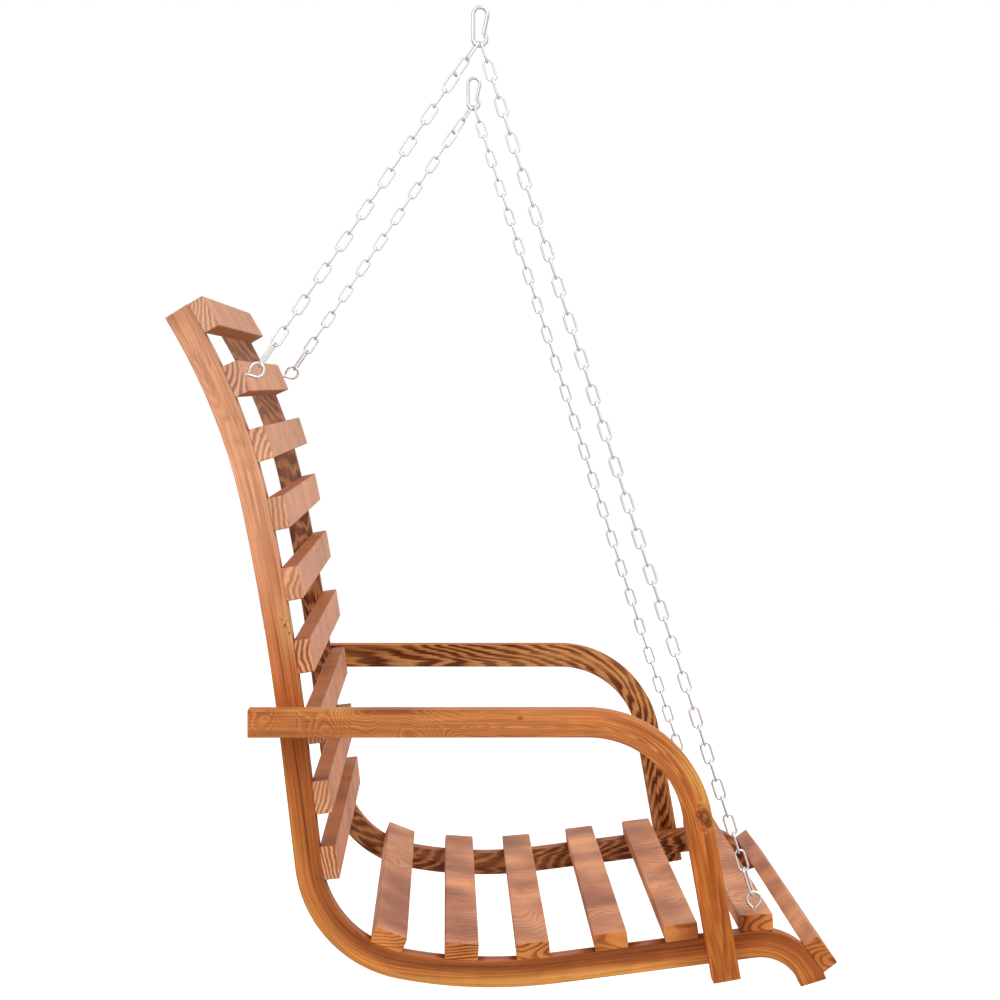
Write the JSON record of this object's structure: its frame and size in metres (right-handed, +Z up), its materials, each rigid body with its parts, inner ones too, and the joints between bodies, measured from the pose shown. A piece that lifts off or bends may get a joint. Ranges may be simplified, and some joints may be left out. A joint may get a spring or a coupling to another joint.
{
  "type": "hanging porch swing",
  "caption": "Hanging porch swing bench of bent, stained wood: slatted seat and back on bent side rails, bent arms, welded chains and spring snap hooks.",
  "frame": {"origin": "middle of the overall box at the level of the lowest edge, which is the underside of the side rails", "axes": "+X across the bench towards the sitter's left, +Y from the front of the seat to the back, +Z up"},
  "size_m": [1.26, 0.6288, 0.9208],
  "materials": {
    "wood": "teak-stained, satin oil finish",
    "steel": "bright zinc plate"
  },
  "bodies": {
    "hooks": {"right_hook_body": "steel", "left_hook_body": "steel", "right_gate_rivet": "steel", "left_gate_rivet": "steel"},
    "right_gate": {"right_hook_gate": "steel", "right_gate_spring": "steel"},
    "left_gate": {"left_hook_gate": "steel", "left_gate_spring": "steel"},
    "bench": {"arm_bolt_plugs": "wood", "arm_bolt_washers": "steel", "arm_bolts": "steel", "arm_inserts": "steel", "back_slat_1": "wood", "back_slat_2": "wood", "back_slat_3": "wood", "back_slat_4": "wood", "back_slat_5": "wood", "back_slat_6": "wood", "back_slat_7": "wood", "back_slat_8": "wood", "back_slat_9": "wood", "back_slat_screws": "steel", "left_arm": "wood", "left_front_chain": "steel", "left_front_screw_eye": "steel", "left_rear_chain": "steel", "left_rear_screw_eye": "steel", "left_side_rail": "wood", "left_top_links": "steel", "right_arm": "wood", "right_front_chain": "steel", "right_front_screw_eye": "steel", "right_rear_chain": "steel", "right_rear_screw_eye": "steel", "right_side_rail": "wood", "right_top_links": "steel", "seat_slat_1": "wood", "seat_slat_2": "wood", "seat_slat_3": "wood", "seat_slat_4": "wood", "seat_slat_5": "wood", "seat_slat_6": "wood", "seat_slat_7": "wood", "seat_slat_screws": "steel"}
  },
  "joints": [
    {"name": "swing", "type": "hinge", "parent": "hooks", "child": "bench", "pos_m": [0, 0.0205, 0.889], "axis": [1, 0, 0], "range_deg": [-25, 25]},
    {"name": "right_gate_hinge", "type": "hinge", "parent": "hooks", "child": "right_gate", "pos_m": [-0.5645, 0.01694, 0.89408], "axis": [-1, 0, 0], "range_deg": [0, 25], "stiffness_Nm_per_rad": 0.02, "springref_deg": -11.46},
    {"name": "left_gate_hinge", "type": "hinge", "parent": "hooks", "child": "left_gate", "pos_m": [0.5645, 0.01694, 0.89408], "axis": [-1, 0, 0], "range_deg": [0, 25], "stiffness_Nm_per_rad": 0.02, "springref_deg": -11.46}
  ]
}
